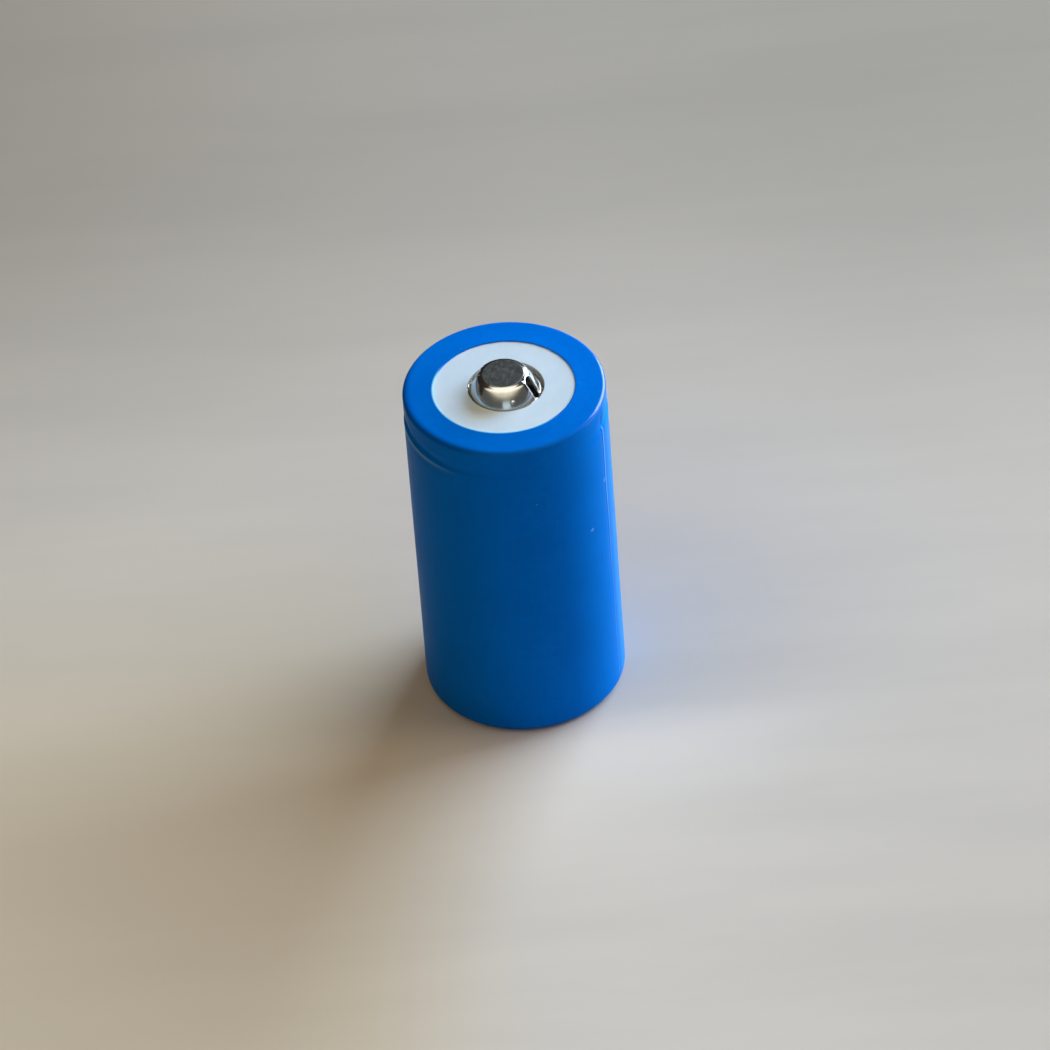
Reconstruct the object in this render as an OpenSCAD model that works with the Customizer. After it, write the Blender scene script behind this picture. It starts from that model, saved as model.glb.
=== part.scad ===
// Cylindrical rechargeable lithium-ion cell, 18350 size, with a raised
// vented button, a white insulating washer and a shrink sleeve.
// Millimetres, +Z up. The origin is the centre of the underside, on the
// surface that the cell stands on.

/* [Cell] */
// Outside diameter over the sleeve
cell_d = 18.4; // [18.2:0.1:19]
// Height from the underside to the flat top edge of the sleeve
body_h = 33.9; // [25:0.1:64]
// Height of the button's flat top above the sleeve's flat top edge
button_rise = 1.55; // [1:0.05:2]

/* [Sleeve] */
// Thickness of the shrink sleeve
sleeve_t = 0.1; // [0.06:0.01:0.14]
// Radius of the round opening that the sleeve leaves at the top
sleeve_top_r = 6.35; // [5.6:0.05:7.2]
// Radius of the round opening that the sleeve leaves at the bottom
sleeve_bottom_r = 8.15; // [7.8:0.05:8.2]
// Corner radius of the shrunk top shoulder
shoulder_r = 0.35; // [0.3:0.05:0.5]
// How far the sleeve is drawn into the can's bead
sleeve_dip = 0.25; // [0.1:0.01:0.27]

/* [Can] */
// Wall thickness of the drawn steel can
can_t = 0.22; // [0.18:0.01:0.25]
// Outside corner radius at the base
base_corner_r = 1; // [0.9:0.05:1.2]
// Depth of the bead rolled into the wall under the crimp
bead_depth = 1.1; // [0.9:0.05:1.2]
// Height of the bead's middle below the sleeve's flat top edge
bead_drop = 2.5; // [2.4:0.05:2.8]
// Inner radius of the crimped lip
crimp_r = 6.45; // [6.3:0.05:7]

/* [Top washer] */
// Thickness of the insulating washer
washer_t = 0.3; // [0.2:0.05:0.35]
// Radius of the washer's hole
washer_hole_r = 3.45; // [3.45:0.05:3.8]

/* [Positive cap] */
// Thickness of the cap's sheet metal
cap_t = 0.3; // [0.2:0.05:0.35]
// Radius of the button's flat top
button_flat_r = 1.83; // [1.6:0.01:1.95]
// Radius of the round edge between the flat top and the wall
button_edge_r = 0.65; // [0.45:0.05:0.75]
// Radius where the button's foot meets the plate round it
button_foot_r = 3.3; // [3.1:0.02:3.3]
// Radius of the curve between the wall and the plate
foot_fillet_r = 0.2; // [0.15:0.05:0.3]
// Width of each vent slot in the button's wall
vent_w = 1.1; // [0.6:0.05:1.2]
// Direction of the first vent slot, in degrees from +X
vent_azimuth = -20; // [-90:1:90]
// Number of vent slots, evenly spaced
vent_count = 2; // [1:1:4]

/* [Safety stack] */
// Thickness of the resettable thermal fuse ring
ptc_t = 0.25; // [0.2:0.05:0.3]
// Inner radius of the thermal fuse ring
ptc_r = 4.6; // [4.2:0.1:5.5]
// Thickness of the burst disc
disc_t = 0.2; // [0.15:0.01:0.2]
// Radius of the ring scored into the burst disc
score_r = 3.3; // [2.6:0.1:3.8]
// Depth of the scored ring
score_depth = 0.08; // [0.05:0.01:0.1]

/* [Hidden] */
$fn = 96;

// outside of the cell
sr = cell_d / 2;                    // sleeve, outside
top_r = sr - 0.05;                  // sleeve, outside, at the shoulder
cr = sr - sleeve_t;                 // can, outside
ci = cr - can_t;                    // can, inside
top_in = body_h - sleeve_t;         // underside of the sleeve's top edge
crimp_z = top_in - washer_t;        // top of the crimped can
crimp_u = crimp_z - can_t;          // underside of the crimped lip
crimp_bend = 0.7;                   // outside radius of the crimp's bend
button_z = body_h + button_rise;    // flat top of the button

// the bead: a round root, two flat flanks and two rounded lips; above
// it the wall is necked in a little, as crimping leaves it
bead_z = body_h - bead_drop;
bead_rr = 0.25;                     // root radius, outside surface
bead_lip = 0.3;                     // lip radius, outside surface
neck = 0.12;
bead_cx = cr - bead_depth + bead_rr;
shelf_z = bead_z + bead_rr + can_t; // ledge that carries the seal

// the clamped stack, from the seal's top flange down
cap_z = crimp_u - 0.3;              // top of the cap's flange
ptc_top = cap_z - cap_t;
plate_z = crimp_z - 0.04;           // plate round the button, on top
plate_r = 5.6;                      // where the plate steps down
step_r = 6.2;                       // where the clamped flange begins
disc_top = ptc_top - ptc_t;
disc_u = disc_top - disc_t;         // underside of the burst disc's rim
seal_in = ci - neck - 0.45;         // inside of the seal's wall
stack_r = seal_in - 0.11;           // outside of the clamped discs
seal_lip_r = 6.5;                   // opening in the seal's flanges
seal_gap = 0.02;                    // play round the crimp's bend

// the burst disc's well and the nub under it
well_drop = 0.4;
well_r = 5.6;
well_u = disc_u - well_drop;        // underside of the well
nub_r = 1.1;
nub_u = well_u - 0.25;              // underside of the nub

// points along an arc of radius r round [cx, cz], from angle a0 to a1
function arc(cx, cz, r, a0, a1, n = 8) =
    [for (i = [0 : n]) let (a = a0 + (a1 - a0) * i / n)
        [cx + r * cos(a), cz + r * sin(a)]];

// the same points in the opposite order
function rev(p) = [for (i = [len(p) - 1 : -1 : 0]) p[i]];

// a smooth change of radius, from ra at height za to rb at height zb
function ease(ra, za, rb, zb, n = 8) =
    [for (i = [0 : n]) let (t = i / n)
        [ra + (rb - ra) * (1 - cos(180 * t)) / 2, za + (zb - za) * t]];

// one side of the sleeve: g is 0 for the outside, sleeve_t for the inside
function sleeve_side(g) = concat(
    [[sleeve_bottom_r, g]],
    arc(sr - 0.8, 0.8, 0.8 - g, -90, 0),
    ease(sr - g, bead_z - 0.5, sr - sleeve_dip - g, bead_z - 0.05),
    ease(sr - sleeve_dip - g, bead_z - 0.04, top_r - g, bead_z + 0.8),
    arc(top_r - shoulder_r, body_h - shoulder_r, shoulder_r - g, 0, 90),
    [[sleeve_top_r, body_h - g]]);

module sleeve() {
    color([0.02, 0.42, 0.86])
    rotate_extrude()
    polygon(concat(sleeve_side(0), rev(sleeve_side(sleeve_t))));
}

module top_washer() {
    color([0.86, 0.91, 0.96])
    difference() {
        translate([0, 0, crimp_z])
        cylinder(r = top_r - shoulder_r - 0.1, h = washer_t);
        translate([0.18, 0.16, crimp_z - 1])
        cylinder(r = washer_hole_r, h = washer_t + 2);
    }
}

// section of the cap, from the flat top outwards: round edge, leaning
// wall, foot, plate, and a step down to the clamped flange. g is 0 for
// the outside and cap_t for the inside, measured square to the sheet
edge_cz = button_z - button_edge_r; // middle of the round edge
foot_cz = plate_z + foot_fillet_r;  // middle of the foot's curve
foot_dx = button_foot_r - button_flat_r;
foot_dz = edge_cz - foot_cz;
// the wall touches both curves, which sets how far it leans in
wall_lean = acos((button_edge_r + foot_fillet_r) / norm([foot_dx, foot_dz]))
    - atan2(foot_dz, foot_dx);
wall_h = foot_dz + (button_edge_r + foot_fillet_r) * sin(wall_lean);
function cap_side(g) = concat(
    [[0, button_z - g]],
    rev(arc(button_flat_r, edge_cz, button_edge_r - g, wall_lean, 90, 10)),
    arc(button_foot_r, foot_cz, foot_fillet_r + g, 180 + wall_lean, 270, 8),
    ease(plate_r, plate_z - g, step_r, cap_z - g),
    [[stack_r, cap_z - g]]);

// a cutter with round ends for one vent slot, square to the wall
vent_lo = 0.2;                      // how far past the wall's two ends
vent_hi = 0.3;                      // the slot reaches, along the wall
module vent_cutter() {
    len = wall_h / cos(wall_lean) + vent_lo + vent_hi;
    translate([button_foot_r - foot_fillet_r * cos(wall_lean), 0,
               foot_cz - foot_fillet_r * sin(wall_lean)])
    rotate([0, -wall_lean, 0]) {
        for (z = [vent_w / 2 - vent_lo, len - vent_lo - vent_w / 2])
            translate([-0.75, 0, z]) rotate([0, 90, 0])
            cylinder(d = vent_w, h = 1.2, $fn = 48);
        translate([-0.75, -vent_w / 2, vent_w / 2 - vent_lo])
        cube([1.2, vent_w, len - vent_w]);
    }
}

module positive_cap() {
    color([0.62, 0.62, 0.6])
    difference() {
        rotate_extrude()
        polygon(concat(cap_side(0), rev(cap_side(cap_t))));
        for (i = [0 : vent_count - 1])
            rotate([0, 0, vent_azimuth + i * 360 / vent_count])
            vent_cutter();
    }
}

module ptc_ring() {
    color([0.25, 0.25, 0.27])
    translate([0, 0, disc_top])
    difference() {
        cylinder(r = stack_r, h = ptc_t);
        translate([0, 0, -1]) cylinder(r = ptc_r, h = ptc_t + 2);
    }
}

// an aluminium disc with a well, a scored ring and a centre nub
module burst_disc() {
    color([0.8, 0.81, 0.82])
    rotate_extrude()
    polygon([
        [0, nub_u], [nub_r, nub_u], [nub_r + 0.3, well_u],
        [well_r, well_u], [well_r + 0.5, disc_u], [stack_r, disc_u],
        [stack_r, disc_top], [well_r + 0.35, disc_top],
        [well_r - 0.15, well_u + disc_t],
        [score_r + 0.12, well_u + disc_t],
        [score_r, well_u + disc_t - score_depth],
        [score_r - 0.12, well_u + disc_t],
        [nub_r + 0.15, well_u + disc_t],
        [nub_r - 0.15, nub_u + disc_t],
        [0, nub_u + disc_t]]);
}

// the seal: a channel that holds the rims of cap, ring and burst disc
module gasket() {
    color([0.75, 0.8, 0.85])
    rotate_extrude()
    polygon(concat(
        [[seal_lip_r, shelf_z], [ci - neck - 0.25, shelf_z],
         [ci - neck, shelf_z + 0.25]],
        arc(cr - neck - crimp_bend, crimp_z - crimp_bend,
            crimp_bend - can_t - seal_gap, 0, 90),
        [[seal_lip_r, crimp_u], [seal_lip_r, cap_z],
         [seal_in, cap_z], [seal_in, disc_u], [seal_lip_r, disc_u]]));
}

// the can's mouth, from the bead's root to the crimped lip: g is 0 for
// the outside of the sheet metal, can_t for the inside
function can_mouth(g) = concat(
    arc(bead_cx, bead_z, bead_rr + g, 180, 90, 5),
    arc(cr - neck - bead_lip, bead_z + bead_rr + bead_lip, bead_lip - g,
        -90, 0, 6),
    arc(cr - neck - crimp_bend, crimp_z - crimp_bend, crimp_bend - g,
        0, 90, 8));

// the can's outside, from under the bead to the crimped lip
function can_side() = concat(
    arc(cr - bead_lip, bead_z - bead_rr - bead_lip, bead_lip, 0, 90, 6),
    arc(bead_cx, bead_z, bead_rr, 270, 190, 4),
    can_mouth(0));

// the can with all that is sealed into it, as one solid: the sheet
// metal's true form above the bead, closed off at the bead's middle
module can() {
    color([0.7, 0.71, 0.73])
    rotate_extrude()
    polygon(concat(
        [[0, sleeve_t]],
        arc(cr - base_corner_r, sleeve_t + base_corner_r,
            base_corner_r, -90, 0),
        can_side(),
        [[crimp_r, crimp_z], [crimp_r, crimp_u]],
        rev(can_mouth(can_t)),
        [[0, bead_z]]));
}

sleeve();
top_washer();
positive_cap();
ptc_ring();
burst_disc();
gasket();
can();
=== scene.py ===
import math

import bpy
import numpy as np
from mathutils import Matrix, Vector


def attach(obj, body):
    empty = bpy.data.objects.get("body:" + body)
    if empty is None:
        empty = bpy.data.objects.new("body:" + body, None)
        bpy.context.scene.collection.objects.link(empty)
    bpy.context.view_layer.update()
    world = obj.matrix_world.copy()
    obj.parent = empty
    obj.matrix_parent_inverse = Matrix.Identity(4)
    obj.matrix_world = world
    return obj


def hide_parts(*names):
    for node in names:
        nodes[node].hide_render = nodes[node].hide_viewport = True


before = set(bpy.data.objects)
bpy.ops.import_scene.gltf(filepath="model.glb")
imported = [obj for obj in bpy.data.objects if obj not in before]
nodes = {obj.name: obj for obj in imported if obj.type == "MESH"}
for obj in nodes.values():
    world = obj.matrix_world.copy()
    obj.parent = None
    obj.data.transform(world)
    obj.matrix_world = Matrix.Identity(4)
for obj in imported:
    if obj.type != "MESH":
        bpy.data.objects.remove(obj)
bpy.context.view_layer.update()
MM = 0.001


# ---------------------------------------------------------------- helpers
def make_mesh(name, verts, faces):
    """A smooth-shaded mesh object from millimetre vertices."""
    me = bpy.data.meshes.new(name)
    me.from_pydata([tuple(v) for v in (np.asarray(verts, float) * MM)], [], faces)
    me.validate()
    me.update()
    for p in me.polygons:
        p.use_smooth = True
    ob = bpy.data.objects.new(name, me)
    bpy.context.scene.collection.objects.link(ob)
    return ob


def arc(cx, cz, r, a0, a1, n):
    a = np.radians(np.linspace(a0, a1, n + 1))
    return np.stack([cx + r * np.cos(a), cz + r * np.sin(a)], -1)


def line(p, q, n):
    t = np.linspace(0, 1, n + 1)[:, None]
    return np.asarray(p, float) * (1 - t) + np.asarray(q, float) * t


def chain(*parts):
    """Joins polylines and drops repeated points."""
    pts = np.concatenate([np.asarray(p, float).reshape(-1, 2) for p in parts])
    keep = np.concatenate([[True], np.hypot(*np.diff(pts, axis=0).T) > 1e-6])
    return pts[keep]


def smooth(t):
    t = np.clip(t, 0, 1)
    return t * t * (3 - 2 * t)


def wrap(a):
    """An angle in degrees brought to -180..180."""
    return (a + 180.0) % 360.0 - 180.0


def bump(a, centre, half):
    """1 at centre, falling smoothly to 0 at half degrees away."""
    return smooth(1 - np.abs(wrap(a - centre)) / half)


def lathe(name, rings):
    """A closed surface from rings of shape (rings, around, 3); the last ring joins the first."""
    n, m = rings.shape[:2]
    verts = rings.reshape(-1, 3)
    faces = []
    for i in range(n):
        i2 = (i + 1) % n
        for j in range(m):
            j2 = (j + 1) % m
            faces.append((i * m + j, i * m + j2, i2 * m + j2, i2 * m + j))
    return make_mesh(name, verts, faces)


def noise1(a, seed, terms=7, lo=2, hi=24):
    """A smooth periodic wobble of about +-1 along an angle in radians."""
    rng = np.random.RandomState(seed)
    total = np.zeros_like(a)
    for _ in range(terms):
        k = rng.randint(lo, hi)
        total = total + rng.uniform(0.4, 1) * np.sin(k * a + rng.uniform(0, 2 * math.pi))
    return total / math.sqrt(terms)


# ---------------------------------------------------------------- sleeve
SR = 9.2
BODY_H = 33.9
T = 0.1


# height of the film's lip over the bead, in mm: CREST_A + CREST_B cos 2(azimuth - 200)
CREST_A, CREST_B = 30.85, 0.05


def sleeve():
    m = 360
    deg = np.arange(m) * 360.0 / m
    a = np.radians(deg)
    # outside, from the bottom opening up to the lip round the washer
    zs = np.concatenate([
        np.linspace(0.8, 29.6, 46),
        np.linspace(29.6, 32.9, 84)[1:],
        np.linspace(32.9, 33.55, 8)[1:],
    ])
    # how strongly the film follows the bead, round the cell
    follow = 0.16 + 0.84 * np.maximum.reduce([
        bump(deg, 178, 75), bump(deg, -150, 42), 0.85 * bump(deg, 90, 80),
        0.7 * bump(deg, -4, 34)])
    crest = CREST_A + CREST_B * np.cos(2 * (a - math.radians(200)))
    rings = []

    def ring(r, z):
        r = np.broadcast_to(np.asarray(r, float), (m,))
        z = np.broadcast_to(np.asarray(z, float), (m,))
        rings.append(np.stack([r * np.cos(a), r * np.sin(a), z], -1))

    wob = 0.05 * noise1(a, 11, 8, 3, 30)

    def skin(z):
        """Outside radius at height z, for every azimuth."""
        top = SR - 0.05
        body = SR - 0.012 + 0.004 * noise1(a + 0.05 * z, 21, 5, 2, 9)
        # the lower lip, the dip over the bead, and the ease up to the shoulder
        d = z - crest
        lip = 0.018 * np.exp(-(d / 0.22) ** 2)
        dip = 0.235 * smooth(d / 0.42) * (1 - smooth((d - 0.42) / 0.95))
        up = smooth((d - 0.2) / 1.1)
        r = body * (1 - up) + top * up + lip * follow - dip * follow
        # a shallow draw-in that stays even where the film spans the bead
        r = r - 0.03 * np.exp(-((d - 0.7) / 0.6) ** 2)
        # the lay-flat creases of the tubing, on two opposite sides
        for c, h in ((-22.0, 1.0), (158.0, 0.8)):
            w = wrap(deg - c - 0.25 * math.sin(z * 0.7))
            fade = 1 - 0.65 * float(smooth((20.0 - z) / 14.0))
            r = r - 0.022 * h * fade * np.exp(-((w + 1.2) / 1.1) ** 2)
            r = r + 0.010 * h * fade * np.exp(-(w / 0.8) ** 2)
        # the pinch beside the crease, just under the crimp
        p = np.exp(-(wrap(deg + 22.5) / 3.2) ** 2) * math.exp(-((z - 31.9) / 0.7) ** 2)
        r = r - 0.07 * p
        p = np.exp(-(wrap(deg + 11.0) / 5.0) ** 2) * math.exp(-((z - 30.5) / 0.25) ** 2)
        r = r - 0.05 * p
        return np.minimum(r, SR)

    def steel(z):
        """The can's outside radius at height z, over the bead and up to the crimp."""
        if z <= 30.85:
            return 9.1
        if z <= 31.15:
            return 8.8 + math.sqrt(max(0.0, 0.09 - (z - 30.85) ** 2))
        if z <= 31.65:
            return 8.7
        if z <= 31.95:
            return 8.68 + math.sqrt(max(0.0, 0.09 - (31.95 - z) ** 2))
        if z <= 32.8:
            return 8.98
        return 8.28 + math.sqrt(max(0.0, 0.49 - (z - 32.8) ** 2))

    # bottom edge, turned in under the can
    ring(8.15 + 0.6 * wob + 0.03, 0.05)
    ring(8.15 + 0.6 * wob, 0.0145)
    ring(8.18 + 0.6 * wob, 0.0)
    ring(8.30, 0.0)
    for r, z in arc(8.4, 0.8, 0.8, -90, 0, 14)[:-1]:
        f = (z / 0.8)
        ring(r - 0.012 * f, z)
    for z in zs:
        ring(skin(z), z)
    base = skin(33.55)
    for d in np.linspace(0, 90, 15)[1:]:
        c, s = math.cos(math.radians(d)), math.sin(math.radians(d))
        ring(base - 0.35 + 0.35 * c, 33.55 + 0.35 * s)
    # the top ring: a faint sag between the crimp's edge and the washer
    lip_r = (6.318 + 0.018 * np.cos(a) + 0.05 * np.sin(a) + 0.070 * np.cos(2 * a)
             + 0.012 * noise1(a, 5, 7, 5, 28))
    for t in np.linspace(0, 1, 26)[1:]:
        r = 8.79 * (1 - t) + (lip_r + 0.06) * t
        sag = 0.012 * math.sin(math.pi * t) ** 2
        ding = 0.05 * np.exp(-(((r * np.cos(a) - 6.93) / 0.22) ** 2
                               + ((r * np.sin(a) + 0.08) / 0.12) ** 2))
        ring(r, BODY_H - sag - ding)
    for d in (120, 150, 180, 215):
        c, s = math.cos(math.radians(d)), math.sin(math.radians(d))
        ring(lip_r + 0.05 + 0.05 * c, BODY_H - 0.05 + 0.05 * s)
    # inside, from the lip back down to the bottom opening
    ring(lip_r + 0.06, BODY_H - T + 0.002)
    for t in np.linspace(0, 1, 7)[1:]:
        ring((lip_r + 0.1) * (1 - t) + (8.8) * t, BODY_H - T + 0.002)
    for d in (70, 50, 30, 10):
        c, s = math.cos(math.radians(d)), math.sin(math.radians(d))
        ring(base - 0.35 + (0.35 - T) * c, 33.55 + (0.35 - T) * s)
    for z in np.concatenate([np.linspace(33.4, 30.2, 34), np.linspace(29.5, 0.8, 16)]):
        # the film lies on the steel and never inside it
        ring(np.maximum(skin(z) - T + 0.004, steel(z) + 0.009), z)
    for r, z in arc(8.4, 0.8, 0.704, 0, -90, 10)[1:]:
        ring(r, z)
    ring(8.22 + 0.6 * wob, 0.096)
    return lathe("shrink_sleeve", np.array(rings))


# ---------------------------------------------------------------- washer
def washer():
    m = 240
    a = np.arange(m) * 2 * math.pi / m
    z0, z1 = 33.5, 33.8
    hole = np.stack([0.18 + 3.45 * np.cos(a), 0.16 + 3.45 * np.sin(a)], -1)
    hole_n = np.stack([np.cos(a), np.sin(a)], -1)
    edge = 0.010 * noise1(a, 31, 9, 5, 40)
    outer = np.stack([8.69 * np.cos(a), 8.69 * np.sin(a)], -1)
    rings = []

    def ring(xy, z):
        rings.append(np.concatenate([xy, np.broadcast_to(np.asarray(z, float), (m,))[:, None]], 1))

    e = 0.05
    for d in np.linspace(180, 90, 7):
        c, s = math.cos(math.radians(d)), math.sin(math.radians(d))
        ring(hole + hole_n * (np.maximum(edge, 0)[:, None] + e + e * c), z1 - e + e * s)
    start = hole + hole_n * (e + np.maximum(edge, 0)[:, None])
    for t in np.linspace(0, 1, 18)[1:]:
        xy = start * (1 - t) + (outer - hole_n * e) * t
        r = np.hypot(*xy.T)
        # a shallow dish where the die cut pulled the edge of the hole down
        sag = 0.014 * np.exp(-((r - 3.5) / 0.35) ** 2) + 0.004 * noise1(a + r, 41, 4, 2, 6) ** 2 * (r < 6.2)
        ring(xy, z1 - np.clip(sag, 0, 0.03) * (t < 1))
    for d in np.linspace(90, 0, 5)[1:]:
        c, s = math.cos(math.radians(d)), math.sin(math.radians(d))
        ring(outer - hole_n * (e - e * c), z1 - e + e * s)
    ring(outer, z0)
    ring(hole + hole_n * (np.maximum(edge, 0)[:, None]), z0)
    ob = lathe("insulating_washer", np.array(rings))
    ob.data.flip_normals()
    return ob


# ---------------------------------------------------------------- cap
CAP = dict(z1=35.45, r0=1.83, rho=0.65, lean=(32.0, 20.0), foot=0.2, plate_z=33.46,
           plate_r=5.6, step_r=6.2, flange_z=32.98, t=0.3, flange_r=8.2,
           vent_w=1.1, over=0.3, under=0.2, rim=0.09)
VENTS = (-20.0, 160.0)


def cap_profiles(p):
    """Outside and inside of the sheet, point for point, and the wall's two ends as arc lengths."""
    l1, l2 = p["lean"]
    n1, n2 = (np.array([math.cos(math.radians(v)), math.sin(math.radians(v))]) for v in (l1, l2))
    ctr = np.array([p["r0"], p["z1"] - p["rho"]])
    A = ctr + p["rho"] * n1
    # the wall is a long arc, round enough to reach the foot's height
    R = (A[1] - (p["plate_z"] + p["foot"] - p["foot"] * n2[1])) / (n1[1] - n2[1])
    fc = A + R * (n2 - n1) + p["foot"] * n2
    wall = np.radians(np.linspace(l1, l2, 17))[1:]
    wall = np.stack([np.cos(wall), np.sin(wall)], -1)
    s = np.linspace(0, 1, 15)
    step = np.stack([p["plate_r"] + (p["step_r"] - p["plate_r"]) * (1 - np.cos(math.pi * s)) / 2,
                     p["plate_z"] + (p["flange_z"] - p["plate_z"]) * s], -1)
    turn = np.radians(np.linspace(90, l1, 17))
    foot = np.radians(np.linspace(180 + l2, 270, 9))
    parts = [
        (line((0, p["z1"]), (p["r0"], p["z1"]), 14), None),
        (ctr + p["rho"] * np.stack([np.cos(turn), np.sin(turn)], -1)[1:],
         np.stack([np.cos(turn), np.sin(turn)], -1)[1:]),
        (A + R * (wall - n1), wall),
        (fc + p["foot"] * np.stack([np.cos(foot), np.sin(foot)], -1)[1:],
         -np.stack([np.cos(foot), np.sin(foot)], -1)[1:]),
        (line((fc[0], p["plate_z"]), (p["plate_r"], p["plate_z"]), 14)[1:], None),
        (step[1:], None),
        (line((p["step_r"], p["flange_z"]), (p["flange_r"] - 0.05, p["flange_z"]), 8)[1:], None)]
    outer = np.concatenate([q for q, _ in parts])
    norm = np.concatenate([np.tile([0.0, 1.0], (len(q), 1)) if k is None else k for q, k in parts])
    return outer, outer - p["t"] * norm, 14 + 16, 14 + 32


def cap():
    p = CAP
    step = 1.25
    m = int(360 / step)
    az = np.arange(m) * step
    outer, inner, ia, ib = cap_profiles(p)

    def lengths(prof):
        return np.concatenate([[0], np.cumsum(np.hypot(*np.diff(prof, axis=0).T))])

    uo, ui = lengths(outer), lengths(inner)

    def at(prof, u, q):
        return np.interp(q, u, prof[:, 0]), np.interp(q, u, prof[:, 1])

    hw = p["vent_w"] / 2
    rim = p["rim"]
    # the slot's outline: a stadium along the surface, w across and u down
    u_top, u_bot = uo[ia] - p["over"], uo[ib] + p["under"]
    ua, ub = u_top + hw, u_bot - hw
    span = int(round(30.0 / step))
    # grid lines of the patch
    margin = 0.36
    ko = np.where((uo > u_top - margin) & (uo < u_bot + margin))[0]
    o0, o1 = ko[0], ko[-1]
    i0, i1 = o0, o1
    count = o1 - o0

    verts, faces = [], []

    def add(pt):
        verts.append(tuple(pt))
        return len(verts) - 1

    def pos(r, z, deg):
        t = math.radians(deg)
        return (r * math.cos(t), r * math.sin(t), z)

    blocked_cols = set()
    centre_cols = [int(round((v % 360) / step)) for v in VENTS]

    def in_patch(j):
        """Column cell j..j+1 lies inside a patch."""
        return any(((j - c + m // 2) % m - m // 2) in range(-span, span) for c in centre_cols)

    def strictly_inside(j):
        return any(-span < ((j - c + m // 2) % m - m // 2) < span for c in centre_cols)

    def surface(prof, a0, a1, flip):
        ids = {}
        pole = add((0, 0, prof[0, 1]))
        for i in range(1, len(prof)):
            for j in range(m):
                if a0 < i < a1 and strictly_inside(j):
                    continue
                ids[i, j] = add(pos(prof[i, 0], prof[i, 1], az[j]))
        for j in range(m):
            f = (pole, ids[1, j], ids[1, (j + 1) % m])
            faces.append(f[::-1] if flip else f)
        for i in range(1, len(prof) - 1):
            for j in range(m):
                if a0 <= i < a1 and in_patch(j):
                    continue
                j2 = (j + 1) % m
                f = (ids[i, j], ids[i + 1, j], ids[i + 1, j2], ids[i, j2])
                faces.append(f[::-1] if flip else f)
        return ids

    ids_o = surface(outer, o0, o1, False)
    ids_i = surface(inner, i0, i1, True)
    # the flange's rounded outside edge
    last_o, last_i = len(outer) - 1, len(inner) - 1
    prev = [ids_o[last_o, j] for j in range(m)]
    for d in (55, 20, -20, -55):
        c, s = math.cos(math.radians(d)), math.sin(math.radians(d))
        cur = [add(pos(p["flange_r"] - 0.05 + 0.05 * c,
                       p["flange_z"] - p["t"] / 2 + (p["t"] / 2) * (s / math.sin(math.radians(80))), az[j]))
               for j in range(m)]
        for j in range(m):
            j2 = (j + 1) % m
            faces.append((prev[j], cur[j], cur[j2], prev[j2]))
        prev = cur
    cur = [ids_i[last_i, j] for j in range(m)]
    for j in range(m):
        j2 = (j + 1) % m
        faces.append((prev[j], cur[j], cur[j2], prev[j2]))

    # boundary loop of a patch, in (column offset, row), starting at the top-left corner
    loop = ([(-span + k, 0) for k in range(2 * span)]
            + [(span, k) for k in range(count)]
            + [(span - k, count) for k in range(2 * span)]
            + [(-span, count - k) for k in range(count)])
    M = len(loop)

    def to_xyz(prof, u, w, q, c):
        """A point of a surface at arc length q and offset w, turned to the vent's azimuth."""
        r, z = at(prof, u, q)
        w = np.clip(w, -r, r)
        x = np.sqrt(np.maximum(r * r - w * w, 0))
        t = math.radians(c)
        return np.stack([x * math.cos(t) - w * math.sin(t),
                         x * math.sin(t) + w * math.cos(t), z], -1)

    # outline points: directions from the slot's own middle line
    bw, bq = [], []
    for dj, k in loop:
        r = outer[o0 + k, 0]
        bw.append(r * math.sin(math.radians(dj * step)))
        bq.append(uo[o0 + k])
    bw, bq = np.array(bw), np.array(bq)
    sk = np.clip(bq, ua, ub)
    dv = np.stack([bw, bq - sk], -1)
    dv /= np.linalg.norm(dv, axis=1)[:, None]

    def outline(h):
        return dv[:, 0] * h, sk + dv[:, 1] * h

    ow, oq = outline(hw)
    iw, iq = ow, np.interp(oq, uo, ui)
    for c, col in zip(VENTS, centre_cols):
        first = [ids_o[o0 + k, (col + dj) % m] for dj, k in loop]
        rows = [first]
        sw, sq = outline(hw + rim)
        K = 7
        for k in range(1, K + 1):
            t = k / K
            t = t ** 0.85
            w, q = bw * (1 - t) + sw * t, bq * (1 - t) + sq * t
            rows.append([add(v) for v in to_xyz(outer, uo, w, q, c)])
        # the punched edge, rolled inwards
        t0 = math.radians(c)
        e = np.array([math.cos(t0), math.sin(t0), 0])
        up = np.array([0, 0, 1.0])
        # local inward direction at each rim point: against the surface normal
        q1, q2 = oq - 0.01, oq + 0.01
        r1, z1_ = at(outer, uo, q1)
        r2, z2_ = at(outer, uo, q2)
        nr, nz = -(z2_ - z1_), (r2 - r1)
        ln = np.hypot(nr, nz)
        nr, nz = nr / ln, nz / ln
        inward = -(nr[:, None] * e + nz[:, None] * up)
        for f in (22.5, 45, 67.5, 90):
            s, cc = math.sin(math.radians(f)), math.cos(math.radians(f))
            w, q = outline(hw + rim * (1 - s))
            pts = to_xyz(outer, uo, w, q, c) + inward * (rim * (1 - cc))
            rows.append([add(v) for v in pts])
        wall_top = np.array([verts[v] for v in rows[-1]])
        wall_end = to_xyz(inner, ui, iw, iq, c)
        for t in (0.33, 0.66):
            rows.append([add(v) for v in wall_top * (1 - t) + wall_end * t])
        rows.append([add(v) for v in wall_end])
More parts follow.
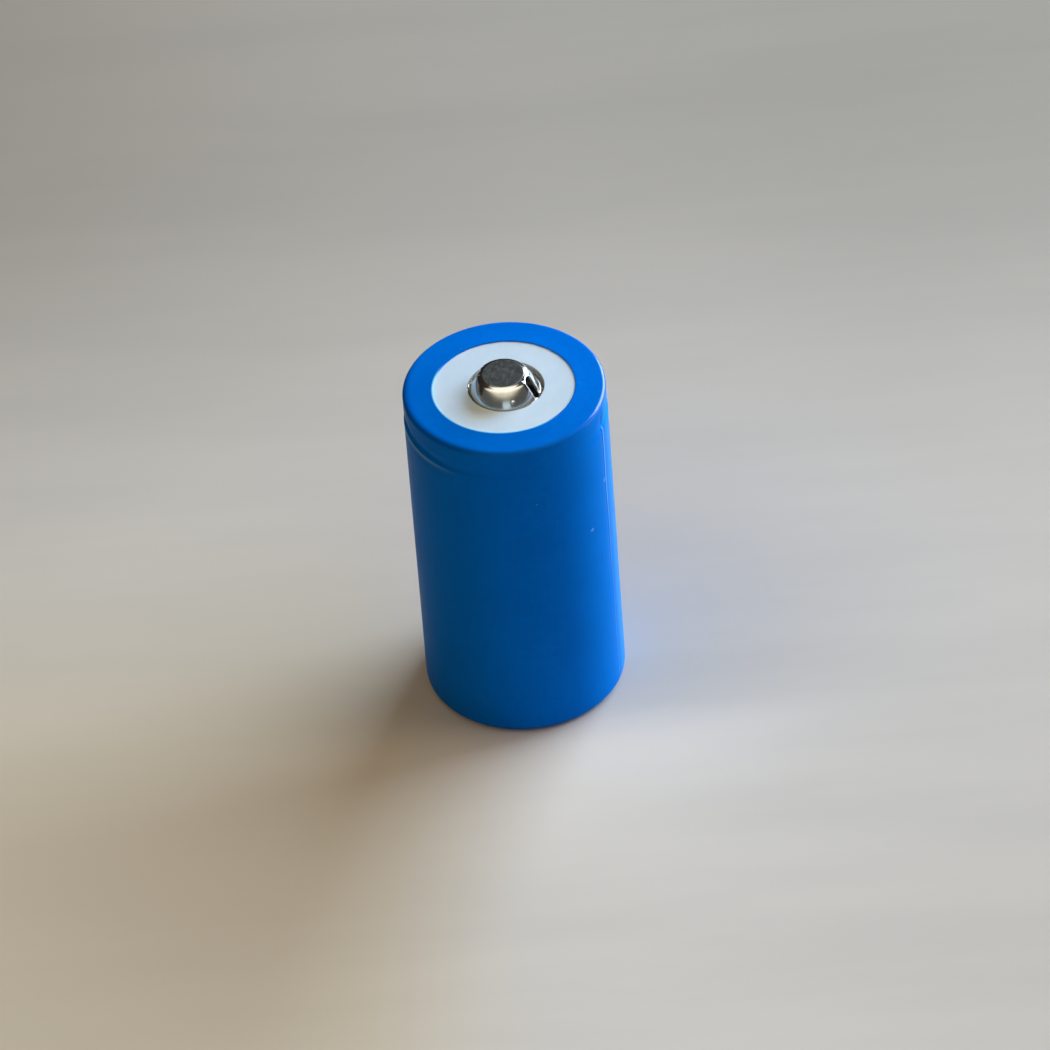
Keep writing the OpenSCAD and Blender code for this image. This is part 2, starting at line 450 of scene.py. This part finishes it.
        # the inner face, from the outline back to the grid
        gw = np.array([inner[i0 + k, 0] * math.sin(math.radians(dj * step)) for dj, k in loop])
        gq = np.array([ui[i0 + k] for dj, k in loop])
        for t in (0.3, 0.65):
            rows.append([add(v) for v in to_xyz(inner, ui, iw * (1 - t) + gw * t, iq * (1 - t) + gq * t, c)])
        rows.append([ids_i[i0 + k, (col + dj) % m] for dj, k in loop])
        for r1_, r2_ in zip(rows[:-1], rows[1:]):
            for j in range(M):
                j2 = (j + 1) % M
                faces.append((r1_[j], r2_[j], r2_[j2], r1_[j2]))
    ob = make_mesh("button_cap", verts, faces)
    return ob


# ---------------------------------------------------------------- materials
class Mat:
    def __init__(self, name):
        self.m = bpy.data.materials.new(name)
        self.m.use_nodes = True
        self.t = self.m.node_tree
        self.b = next(n for n in self.t.nodes if n.type == "BSDF_PRINCIPLED")
        self.co = self.t.nodes.new("ShaderNodeTexCoord").outputs["Object"]

    def node(self, kind, **kw):
        n = self.t.nodes.new(kind)
        for k, v in kw.items():
            setattr(n, k, v)
        return n

    def link(self, a, b):
        self.t.links.new(a, b)

    def set(self, **kw):
        for k, v in kw.items():
            self.b.inputs[k.replace("_", " ")].default_value = v

    def scaled(self, x, y, z):
        n = self.node("ShaderNodeMapping")
        n.inputs["Scale"].default_value = (x, y, z)
        self.link(self.co, n.inputs["Vector"])
        return n.outputs["Vector"]

    def noise(self, scale, detail=3.0, rough=0.5, vec=None, distortion=0.0):
        n = self.node("ShaderNodeTexNoise")
        n.inputs["Scale"].default_value = scale
        n.inputs["Detail"].default_value = detail
        n.inputs["Roughness"].default_value = rough
        n.inputs["Distortion"].default_value = distortion
        self.link(vec or self.co, n.inputs["Vector"])
        return n.outputs["Fac"]

    def voronoi(self, scale, vec=None, feature="F1"):
        n = self.node("ShaderNodeTexVoronoi")
        n.feature = feature
        n.inputs["Scale"].default_value = scale
        self.link(vec or self.co, n.inputs["Vector"])
        return n.outputs["Distance"]

    def rng(self, v, a, b, c=0.0, d=1.0, kind="SMOOTHSTEP"):
        n = self.node("ShaderNodeMapRange")
        n.interpolation_type = kind
        n.inputs["From Min"].default_value = a
        n.inputs["From Max"].default_value = b
        n.inputs["To Min"].default_value = c
        n.inputs["To Max"].default_value = d
        self.link(v, n.inputs["Value"])
        return n.outputs["Result"]

    def math(self, op, a, b=None):
        n = self.node("ShaderNodeMath", operation=op)
        for i, v in enumerate((a, b)):
            if v is None:
                continue
            if isinstance(v, (int, float)):
                n.inputs[i].default_value = v
            else:
                self.link(v, n.inputs[i])
        return n.outputs[0]

    def mix(self, fac, a, b):
        n = self.node("ShaderNodeMix", data_type="RGBA")
        for i, v in ((0, fac), (6, a), (7, b)):
            if isinstance(v, tuple):
                n.inputs[i].default_value = v if len(v) == 4 else (*v, 1)
            elif isinstance(v, (int, float)):
                n.inputs[i].default_value = v
            else:
                self.link(v, n.inputs[i])
        return n.outputs[2]

    def xyz(self):
        n = self.node("ShaderNodeSeparateXYZ")
        self.link(self.co, n.inputs[0])
        return n.outputs[0], n.outputs[1], n.outputs[2]

    def dist(self, x, y, z, sx=1.0, sy=1.0, sz=1.0):
        """Distance in millimetres from a point, squeezed by sx, sy, sz."""
        n = self.node("ShaderNodeVectorMath", operation="SUBTRACT")
        self.link(self.co, n.inputs[0])
        n.inputs[1].default_value = (x * MM, y * MM, z * MM)
        s = self.node("ShaderNodeVectorMath", operation="MULTIPLY")
        self.link(n.outputs[0], s.inputs[0])
        s.inputs[1].default_value = (1000 / sx, 1000 / sy, 1000 / sz)
        le = self.node("ShaderNodeVectorMath", operation="LENGTH")
        self.link(s.outputs[0], le.inputs[0])
        return le.outputs["Value"]

    def radius(self):
        """Distance from the cell's axis, in metres."""
        x, y, _ = self.xyz()
        return self.math("SQRT", self.math("ADD", self.math("MULTIPLY", x, x), self.math("MULTIPLY", y, y)))

    def bump(self, h, strength, distance, normal=None):
        n = self.node("ShaderNodeBump")
        n.inputs["Strength"].default_value = strength
        n.inputs["Distance"].default_value = distance
        self.link(h, n.inputs["Height"])
        if normal is not None:
            self.link(normal, n.inputs["Normal"])
        return n.outputs["Normal"]

    def color(self, v):
        self.link(v, self.b.inputs["Base Color"])

    def rough(self, v):
        self.link(v, self.b.inputs["Roughness"])

    def normal(self, v):
        self.link(v, self.b.inputs["Normal"])


def film():
    m = Mat("blue_film")
    m.set(Specular_IOR_Level=0.5, IOR=1.06, Specular_Tint=(0.0, 0.85, 1.0, 1.0),
          Coat_IOR=1.5, Coat_Roughness=0.13)
    x, y, z = m.xyz()
    cloud = m.noise(170, 3, 0.55)
    fine = m.noise(1500, 3, 0.6)
    base = m.mix(m.rng(cloud, 0.35, 0.65), (0.0, 0.160, 0.72), (0.0, 0.174, 0.77))
    base = m.mix(m.rng(fine, 0.3, 0.7, 0.0, 0.35), base, (0.0, 0.14, 0.70))
    # film drawn thin and paler where it turns over the crimp
    thin = m.math("MULTIPLY", m.rng(m.radius(), 0.00880, 0.00912), m.rng(z, 0.0334, 0.0338))
    base = m.mix(m.math("MULTIPLY", thin, 0.25), base, (0.02, 0.22, 0.85))
    # dust and a rub mark
    for px, py, pz, s, k in ((8.40, -3.75, 25.2, 0.19, 0.95), (6.94, -6.03, 21.3, 0.17, 0.42),
                             (8.9, -2.2, 28.9, 0.06, 0.4), (2.1, -8.95, 27.4, 0.07, 0.2)):
        d = m.dist(px, py, pz, s * 1.4, s * 1.4, s)
        base = m.mix(m.rng(d, 0.5, 1.3, k, 0.0), base, (0.55, 0.75, 0.95))
    grit = m.voronoi(900)
    speck = m.math("MULTIPLY", m.rng(grit, 0.03, 0.06, 1.0, 0.0), m.rng(m.noise(260, 2), 0.60, 0.66))
    base = m.mix(m.math("MULTIPLY", speck, 0.3), base, (0.35, 0.55, 0.9))
    az = m.math("ARCTAN2", y, x)
    # the lip over the bead: a painted highlight along it at the left, and painted shade under it
    two = m.math("COSINE", m.math("MULTIPLY", m.math("ADD", az, -math.radians(200)), 2.0))
    up = m.math("SUBTRACT", z, m.math("ADD", m.math("MULTIPLY", two, CREST_B * 0.001), CREST_A * 0.001))
    on_left = m.math("MULTIPLY", m.rng(az, -3.13, -2.95), m.rng(az, -2.62, -2.05, 1.0, 0.0))
    under = m.math("MULTIPLY", m.rng(up, -0.0014, -0.0008), m.rng(up, -0.0006, -0.0003, 1.0, 0.0))
    base = m.mix(m.math("MULTIPLY", m.math("MULTIPLY", under, on_left), 0.35), base, (0.0, 0.095, 0.30))
    painted_light = m.math("MULTIPLY", m.rng(up, -0.00055, 0.00002, kind="SMOOTHERSTEP"), m.rng(up, 0.00004, 0.00013, 1.0, 0.0))
    base = m.mix(m.math("MULTIPLY", m.math("MULTIPLY", painted_light, on_left), 0.46), base, (0.30, 0.52, 0.66))
    # painted shade deepening the film over the shoulder at the left
    side = m.rng(m.math("COSINE", m.math("ADD", az, -math.radians(203))), 0.45, 0.95)
    rim = m.math("MULTIPLY", m.rng(z, 0.03340, 0.03368), m.rng(m.radius(), 0.00835, 0.00888))
    base = m.mix(m.math("MULTIPLY", m.math("MULTIPLY", side, rim), 0.62), base, (0.0, 0.065, 0.36))
    # painted shade makes the whole left flank a little deeper and greener, and painted light makes the right one
    # lighter
    low_side = m.rng(z, 0.0334, 0.0337, 1.0, 0.0)
    base = m.mix(m.math("MULTIPLY", m.math("MULTIPLY", side, low_side), 0.36), base, (0.0, 0.125, 0.40))
    right = m.rng(m.math("COSINE", m.math("ADD", az, math.radians(10))), 0.60, 0.98)
    base = m.mix(m.math("MULTIPLY", m.math("MULTIPLY", right, low_side), 0.55), base, (0.0, 0.240, 0.88))
    # a painted highlight on the cut lip round the washer, pale at the front and left
    lip_r = m.math("ADD", m.math("MULTIPLY", m.math("COSINE", az), 0.000018), 0.006318)
    lip_r = m.math("ADD", lip_r, m.math("MULTIPLY", m.math("SINE", az), 0.00005))
    lip_r = m.math("ADD", lip_r, m.math("MULTIPLY", m.math("COSINE", m.math("MULTIPLY", az, 2.0)), 0.00007))
    lip_edge_highlight = m.rng(m.math("SUBTRACT", m.radius(), lip_r), 0.00007, 0.00021, 1.0, 0.0)
    lip_edge_highlight = m.math("MULTIPLY", lip_edge_highlight, m.rng(z, 0.0336, 0.03375))
    lip_edge_highlight = m.math("MULTIPLY", lip_edge_highlight, m.rng(m.math("COSINE", m.math("ADD", az, math.radians(128))), 0.0, 0.45))
    base = m.mix(m.math("MULTIPLY", lip_edge_highlight, 0.85), base, (0.32, 0.82, 1.0))
    # the lay-flat crease: a painted highlight on its pale fold, with painted shade in the deeper line beside it
    w = m.math("ADD", m.math("MULTIPLY", az, 180 / math.pi), 22.0)
    w = m.math("SUBTRACT", w, m.math("MULTIPLY", m.math("SINE", m.math("MULTIPLY", z, 700.0)), 0.25))
    low = m.math("MULTIPLY", m.rng(z, 0.012, 0.030, 0.25, 1.0), m.rng(z, 0.0310, 0.0316, 1.0, 0.0))
    crease_shade = m.math("MULTIPLY", m.rng(m.math("ABSOLUTE", m.math("ADD", w, 1.4)), 0.2, 1.1, 1.0, 0.0), low)
    base = m.mix(m.math("MULTIPLY", crease_shade, 0.80), base, (0.0, 0.10, 0.48))
    fold_highlight = m.math("MULTIPLY", m.rng(m.math("ABSOLUTE", w), 0.15, 0.75, 1.0, 0.0), low)
    base = m.mix(m.math("MULTIPLY", fold_highlight, 0.85), base, (0.22, 0.58, 0.95))
    # a painted sheen on the flank beyond the crease
    flank_sheen = m.math("MULTIPLY", m.rng(w, 0.5, 7.0), m.rng(w, 35.0, 75.0, 1.0, 0.0))
    base = m.mix(m.math("MULTIPLY", m.math("MULTIPLY", flank_sheen, low_side), 0.30), base, (0.0, 0.42, 0.95))
    # a dark blotch of painted shade in the pinch by the neck
    d = m.dist(8.55, -3.42, 31.95, 0.30, 0.36, 0.85)
    base = m.mix(m.rng(d, 0.55, 1.15, 0.6, 0.0), base, (0.0, 0.14, 0.36))
    m.color(base)
    # drawn tight over the shoulder at the right, and beyond the crease, it is glossier
    east = m.math("COSINE", m.math("ADD", az, math.radians(7)))
    tight = m.math("MULTIPLY", m.rng(m.radius(), 0.00872, 0.00890), m.rng(z, 0.0334, 0.0336))
    tight = m.math("MULTIPLY", tight, m.rng(east, 0.74, 0.96))
    beyond = m.math("MULTIPLY", m.rng(w, 0.3, 3.0), m.rng(w, 60.0, 100.0, 0.14, 0.0))
    beyond = m.math("MULTIPLY", beyond, m.rng(z, 0.0332, 0.0336, 1.0, 0.0))
    m.link(m.math("ADD", m.math("MULTIPLY", tight, 0.9), beyond), m.b.inputs["Coat Weight"])
    streak = m.noise(240, 3, 0.6, m.scaled(6, 6, 0.6))
    r = m.math("ADD", m.rng(cloud, 0.3, 0.7, 0.27, 0.33), m.rng(streak, 0.35, 0.7, 0.0, 0.07))
    m.rough(r)
    n = m.bump(m.noise(420, 3, 0.5), 0.10, 0.0002)
    n = m.bump(fine, 0.06, 0.00005, n)
    # the ring on top bows down a little towards the shoulder
    n = m.bump(m.rng(m.radius(), 0.0064, 0.0089, 1.0, 0.0, kind="LINEAR"), 1.0, 0.00022, n)
    m.normal(n)
    return m.m


def white_sheet():
    m = Mat("white_sheet")
    m.set(Specular_IOR_Level=0.5, IOR=1.45)
    cloud = m.noise(260, 4, 0.6)
    fibre = m.noise(2600, 3, 0.6, m.scaled(1.0, 0.35, 1.0))
    base = m.mix(m.rng(cloud, 0.35, 0.7), (0.64, 0.79, 0.96), (0.68, 0.82, 0.98))
    base = m.mix(m.rng(fibre, 0.35, 0.7, 0.0, 0.3), base, (0.60, 0.74, 0.92))
    # a faint warm patch of painted light, thrown off the button's wall, beside the button
    d = m.dist(-2.2, -3.2, 33.8, 1.9, 1.5, 9.0)
    base = m.mix(m.rng(d, 0.2, 1.3, 0.5, 0.0), base, (0.72, 0.72, 0.60))
    # the cut edge of the hole, brown, and darkened with painted shade from the gap beside the cap
    edge = m.rng(m.dist(0.18, 0.16, 33.65, 3.49, 3.49, 4000.0), 0.985, 1.0, 1.0, 0.0)
    base = m.mix(m.math("MULTIPLY", edge, 0.75), base, (0.22, 0.16, 0.10))
    m.color(base)
    m.rough(m.rng(cloud, 0.3, 0.7, 0.30, 0.40))
    n = m.bump(fibre, 0.10, 0.00004)
    n = m.bump(m.noise(500, 3, 0.5), 0.10, 0.0001, n)
    m.normal(n)
    return m.m


def plated(name="plated_steel"):
    m = Mat(name)
    m.set(Metallic=1.0)
    x, y, z = m.xyz()
    top = m.math("MULTIPLY", m.rng(z, 0.03538, 0.03544), m.rng(m.radius(), 0.00180, 0.00196, 1.0, 0.0))
    cloud = m.noise(900, 4, 0.6)
    grain = m.noise(5200, 4, 0.65)
    pits = m.voronoi(4200)
    wall = m.mix(m.rng(cloud, 0.35, 0.7), (0.60, 0.585, 0.55), (0.54, 0.53, 0.51))
    flat = m.mix(m.rng(m.noise(1600, 4, 0.7), 0.35, 0.65), (0.086, 0.094, 0.094), (0.162, 0.163, 0.161))
    flat = m.mix(m.rng(pits, 0.0, 0.25, 0.5, 0.0), flat, (0.10, 0.10, 0.10))
    # a painted highlight on the punched edges of the slot
    ca, sa = math.cos(math.radians(VENTS[0])), math.sin(math.radians(VENTS[0]))
    along = m.math("ADD", m.math("MULTIPLY", x, ca), m.math("MULTIPLY", y, sa))
    across = m.math("ABSOLUTE", m.math("SUBTRACT", m.math("MULTIPLY", y, ca), m.math("MULTIPLY", x, sa)))
    lip = m.math("MULTIPLY", m.rng(across, 0.00052, 0.00056), m.rng(across, 0.00060, 0.00069, 1.0, 0.0))
    lip = m.math("MULTIPLY", lip, m.rng(m.math("ABSOLUTE", along), 0.0018, 0.0021))
    lip = m.math("MULTIPLY", lip, m.rng(m.math("ABSOLUTE", along), 0.0034, 0.0036, 1.0, 0.0))
    both = m.mix(top, wall, flat)
    m.color(m.mix(m.math("MULTIPLY", lip, 0.70), both, (0.93, 0.95, 0.97)))
    r_wall = m.rng(cloud, 0.3, 0.7, 0.09, 0.17)
    r_wall = m.math("ADD", r_wall, m.rng(z, 0.03365, 0.0341, 0.16, 0.0))
    r_top = m.rng(grain, 0.3, 0.7, 0.36, 0.5)
    mixr = m.node("ShaderNodeMix", data_type="FLOAT")
    m.link(top, mixr.inputs[0])
    m.link(r_wall, mixr.inputs[2])
    m.link(r_top, mixr.inputs[3])
    edge = m.node("ShaderNodeMix", data_type="FLOAT")
    m.link(lip, edge.inputs[0])
    m.link(mixr.outputs[0], edge.inputs[2])
    edge.inputs[3].default_value = 0.5
    m.rough(edge.outputs[0])
    n = m.bump(m.math("MULTIPLY", m.noise(2300, 4, 0.7), top), 0.55, 0.00006)
    n = m.bump(m.noise(700, 3, 0.5, m.scaled(1, 1, 0.3)), 0.05, 0.0001, n)
    # a tiny raised speck on the front of the wall
    n = m.bump(m.rng(m.dist(0.72, -2.69, 34.29, 0.2, 0.2, 0.2), 0.0, 1.0, 1.0, 0.0), 1.0, 0.00013, n)
    m.normal(n)
    return m.m


def drawn_steel():
    """The can: nickel plate with drawing marks up the wall and turned rings on the base."""
    m = Mat("drawn_steel")
    m.set(Metallic=1.0)
    x, y, z = m.xyz()
    rad = m.radius()
    cloud = m.noise(300, 4, 0.6)
    comb = m.node("ShaderNodeCombineXYZ")
    m.link(rad, comb.inputs[0])
    rings = m.noise(5200, 3, 0.6, comb.outputs[0])
    draw = m.noise(2200, 3, 0.6, m.scaled(1, 1, 0.03))
    base = m.mix(m.rng(cloud, 0.3, 0.7), (0.58, 0.575, 0.555), (0.66, 0.655, 0.635))
    base = m.mix(m.rng(rings, 0.4, 0.65, 0.0, 0.35), base, (0.46, 0.455, 0.44))
    scuff = m.math("MULTIPLY", m.rng(m.noise(1200, 3, 0.7, m.scaled(1, 0.12, 1)), 0.62, 0.7), 0.5)
    base = m.mix(scuff, base, (0.38, 0.37, 0.35))
    m.color(base)
    m.rough(m.math("ADD", m.rng(cloud, 0.3, 0.7, 0.20, 0.30), m.rng(draw, 0.4, 0.7, 0.0, 0.1)))
    n = m.bump(rings, 0.10, 0.00004)
    n = m.bump(draw, 0.12, 0.00004, n)
    m.normal(n)
    return m.m


def aluminium():
    m = Mat("pressed_aluminium")
    m.set(Metallic=1.0)
    comb = m.node("ShaderNodeCombineXYZ")
    m.link(m.radius(), comb.inputs[0])
    rings = m.noise(4200, 3, 0.6, comb.outputs[0])
    cloud = m.noise(420, 3, 0.55)
    base = m.mix(m.rng(cloud, 0.3, 0.7), (0.76, 0.77, 0.78), (0.83, 0.835, 0.84))
    base = m.mix(m.rng(rings, 0.4, 0.7, 0.0, 0.3), base, (0.62, 0.63, 0.64))
    m.color(base)
    m.rough(m.rng(rings, 0.3, 0.7, 0.26, 0.40))
    m.normal(m.bump(rings, 0.12, 0.00004))
    return m.m


def moulded(name, c1, c2, r0, r1):
    m = Mat(name)
    cloud = m.noise(380, 4, 0.6)
    grain = m.noise(3200, 3, 0.6)
    base = m.mix(m.rng(cloud, 0.3, 0.7), c1, c2)
    base = m.mix(m.rng(grain, 0.45, 0.75, 0.0, 0.25), base, tuple(v * 0.75 for v in c1))
    m.color(base)
    m.rough(m.rng(grain, 0.3, 0.7, r0, r1))
    m.normal(m.bump(grain, 0.15, 0.00005))
    return m.m


def paint(ob, mat):
    ob.data.materials.clear()
    ob.data.materials.append(mat)


s = sleeve()
paint(s, film())
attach(s, "root"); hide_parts("sleeve")

w = washer()
paint(w, white_sheet())
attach(w, "root"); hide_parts("top_washer")

c = cap()
steel = plated()
paint(c, steel)
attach(c, "root"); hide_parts("positive_cap")

paint(nodes["can"], drawn_steel())
paint(nodes["burst_disc"], aluminium())
paint(nodes["gasket"], moulded("seal_polymer", (0.58, 0.64, 0.70), (0.66, 0.71, 0.76), 0.42, 0.55))
paint(nodes["ptc_ring"], moulded("fuse_polymer", (0.05, 0.05, 0.055), (0.08, 0.08, 0.085), 0.5, 0.65))


# ---------------------------------------------------------------- stage
def floor():
    me = bpy.data.meshes.new("floor")
    h = 3.0
    me.from_pydata([(-h, -h, 0), (h, -h, 0), (h, h, 0), (-h, h, 0)], [], [(0, 1, 2, 3)])
    ob = bpy.data.objects.new("floor", me)
    bpy.context.scene.collection.objects.link(ob)
    m = Mat("pale_floor")
    m.set(Specular_IOR_Level=0.2)
    x, y, z = m.xyz()
    grain = m.noise(60, 4, 0.6, m.scaled(0.25, 1.6, 1.0))
    near = m.mix(m.rng(grain, 0.3, 0.7), (0.70, 0.658, 0.622), (0.655, 0.618, 0.588))
    # it falls off towards the back and the left, away from the window
    back = m.rng(y, 0.005, 0.085, 0.0, 0.52)
    left = m.math("MULTIPLY", m.rng(x, -0.06, 0.01, 1.0, 0.0), 0.16)
    base = m.mix(m.math("ADD", back, left), near, (0.16, 0.145, 0.125))
    # painted shade round the foot of the cell, and a painted dimmer right side
    foot = m.math("MULTIPLY", m.rng(m.radius(), 0.0095, 0.045, 0.24, 0.0), m.rng(y, -0.012, 0.0))
    foot = m.math("ADD", foot, m.rng(x, 0.005, 0.045, 0.0, 0.13))
    base = m.mix(foot, base, (0.22, 0.20, 0.18))
    # painted light just in front of the cell; browner at the left, partly the wood's stain and partly painted warm
    # shade for the cell's shadow
    painted_light = m.math("MULTIPLY", m.rng(y, -0.012, -0.006, 1.0, 0.0), m.rng(m.radius(), 0.012, 0.032, 1.0, 0.0))
    base = m.mix(m.math("MULTIPLY", painted_light, 0.55), base, (0.90, 0.84, 0.78))
    brown = m.math("MULTIPLY", m.rng(x, -0.020, 0.002, 1.0, 0.0), m.rng(y, -0.015, 0.030, 1.0, 0.12))
    base = m.mix(m.math("MULTIPLY", brown, 0.46), base, (0.66, 0.52, 0.31))
    # painted shade: darker towards the far left
    far = m.math("MULTIPLY", m.rng(y, 0.03, 0.13), m.rng(x, -0.13, -0.01, 1.0, 0.0))
    base = m.mix(m.math("MULTIPLY", far, 0.36), base, (0.20, 0.16, 0.12))
    m.color(base)
    m.b.inputs["Roughness"].default_value = 0.7
    paint(ob, m.m)
    return ob


floor()


def area(name, at, target, size, power, color, lit=True, seen=True):
    """lit: it lights matt surfaces; seen: it shows in glossy ones."""
    li = bpy.data.lights.new(name, "AREA")
    li.shape = "RECTANGLE"
    li.size, li.size_y = size
    li.energy = power
    li.color = color
    ob = bpy.data.objects.new(name, li)
    ob.location = at
    d = (Vector(target) - Vector(at)).normalized()
    ob.rotation_euler = d.to_track_quat("-Z", "Y").to_euler()
    ob.visible_diffuse = lit
    ob.visible_glossy = seen
    bpy.context.scene.collection.objects.link(ob)
    return ob


def card(name, az, el, dist, size, radiance, color):
    """A reflector that only shows in glossy surfaces, set by its brightness."""
    return area(name, polar(az, el, dist), (0, 0, 0.02), size,
                radiance * math.pi * size[0] * size[1], color, lit=False)


def polar(az, el, dist):
    a, e = math.radians(az), math.radians(el)
    return (dist * math.cos(e) * math.cos(a), dist * math.cos(e) * math.sin(a), dist * math.sin(e) + 0.02)


MID = (0, 0, 0.02)
area("key", polar(41, 22, 1.5), MID, (1.4, 1.0), 47, (0.71, 0.86, 1.0))
area("overhead", polar(80, 79, 1.6), MID, (1.9, 0.9), 6.0, (1.0, 0.83, 0.56), seen=False)
area("fill", polar(-150, 48, 1.6), MID, (1.7, 1.25), 4.2, (1.0, 0.76, 0.43), seen=False)
area("front", polar(-72, 30, 1.6), MID, (1.4, 0.9), 1.2, (1.0, 0.90, 0.86), seen=False)
area("side", polar(-8, 36, 1.6), MID, (0.9, 1.0), 3.8, (1.0, 0.90, 0.82), seen=False)
# what only shows in glossy surfaces: a softbox at the right and a window pane in front
card("side_card", -8, 36, 1.6, (0.9, 1.0), 1.5, (0.70, 0.95, 1.0))
card("pane", -86, 6, 1.5, (0.62, 0.34), 1.05, (0.70, 0.92, 1.0))

# and the room: a cream wall and ceiling over the front half, browner and dimmer lower
# down, dark at the back
world = bpy.data.worlds.new("studio")
world.use_nodes = True
wt = world.node_tree
bg = next(n for n in wt.nodes if n.type == "BACKGROUND")
way = wt.nodes.new("ShaderNodeSeparateXYZ")
wt.links.new(wt.nodes.new("ShaderNodeTexCoord").outputs["Generated"], way.inputs[0])


def soft(v, a, b, c=0.0, d=1.0):
    n = wt.nodes.new("ShaderNodeMapRange")
    n.interpolation_type = "SMOOTHSTEP"
    for k, x in (("From Min", a), ("From Max", b), ("To Min", c), ("To Max", d)):
        n.inputs[k].default_value = x
    wt.links.new(v, n.inputs["Value"])
    return n.outputs["Result"]


ramp = wt.nodes.new("ShaderNodeValToRGB")
stops = ((0.0, (0.060, 0.068, 0.066)), (0.20, (0.060, 0.064, 0.062)), (0.27, (0.14, 0.136, 0.11)),
         (0.345, (0.56, 0.515, 0.40)), (0.55, (0.82, 0.765, 0.62)), (0.85, (0.98, 0.92, 0.80)),
         (1.0, (1.0, 0.94, 0.83)))
while len(ramp.color_ramp.elements) < len(stops):
    ramp.color_ramp.elements.new(0.5)
for i, (height, tone) in enumerate(stops):
    ramp.color_ramp.elements[i].position = height
    ramp.color_ramp.elements[i].color = (*tone, 1)
wt.links.new(way.outputs[2], ramp.inputs[0])
over = wt.nodes.new("ShaderNodeMath")
over.operation = "MAXIMUM"
wt.links.new(soft(way.outputs[1], -0.20, -0.02, 1.0, 0.0), over.inputs[0])
wt.links.new(soft(way.outputs[2], 0.86, 0.94), over.inputs[1])
room = wt.nodes.new("ShaderNodeMix")
room.data_type = "RGBA"
wt.links.new(over.outputs[0], room.inputs[0])
room.inputs[6].default_value = (0.016, 0.014, 0.012, 1)
wt.links.new(ramp.outputs["Color"], room.inputs[7])
wt.links.new(room.outputs[2], bg.inputs["Color"])
bg.inputs["Strength"].default_value = 1.95
world.cycles_visibility.diffuse = False
bpy.context.scene.world = world

scene = bpy.context.scene
scene.view_settings.view_transform = "Standard"
scene.view_settings.look = "None"
scene.view_settings.exposure = 0
scene.view_settings.gamma = 1

cam = bpy.data.cameras.new("camera")
cam.sensor_width = 36.0
cam.lens = 8090.857 / 1050 * 36.0
cam.clip_start = 0.01
cam.clip_end = 20
co = bpy.data.objects.new("camera", cam)
scene.collection.objects.link(co)
right = Vector((0.99680998, -0.05390128, -0.05886008))
upv = Vector((0.07980178, 0.66168278, 0.74552503))
fwd = Vector((0.00123805, 0.74784393, -0.66387342))
rot = Matrix((right, upv, -fwd)).transposed()
co.matrix_world = Matrix.Translation((0.0, -0.550303, 0.505687)) @ rot.to_4x4()
scene.camera = co

bpy.context.view_layer.update()
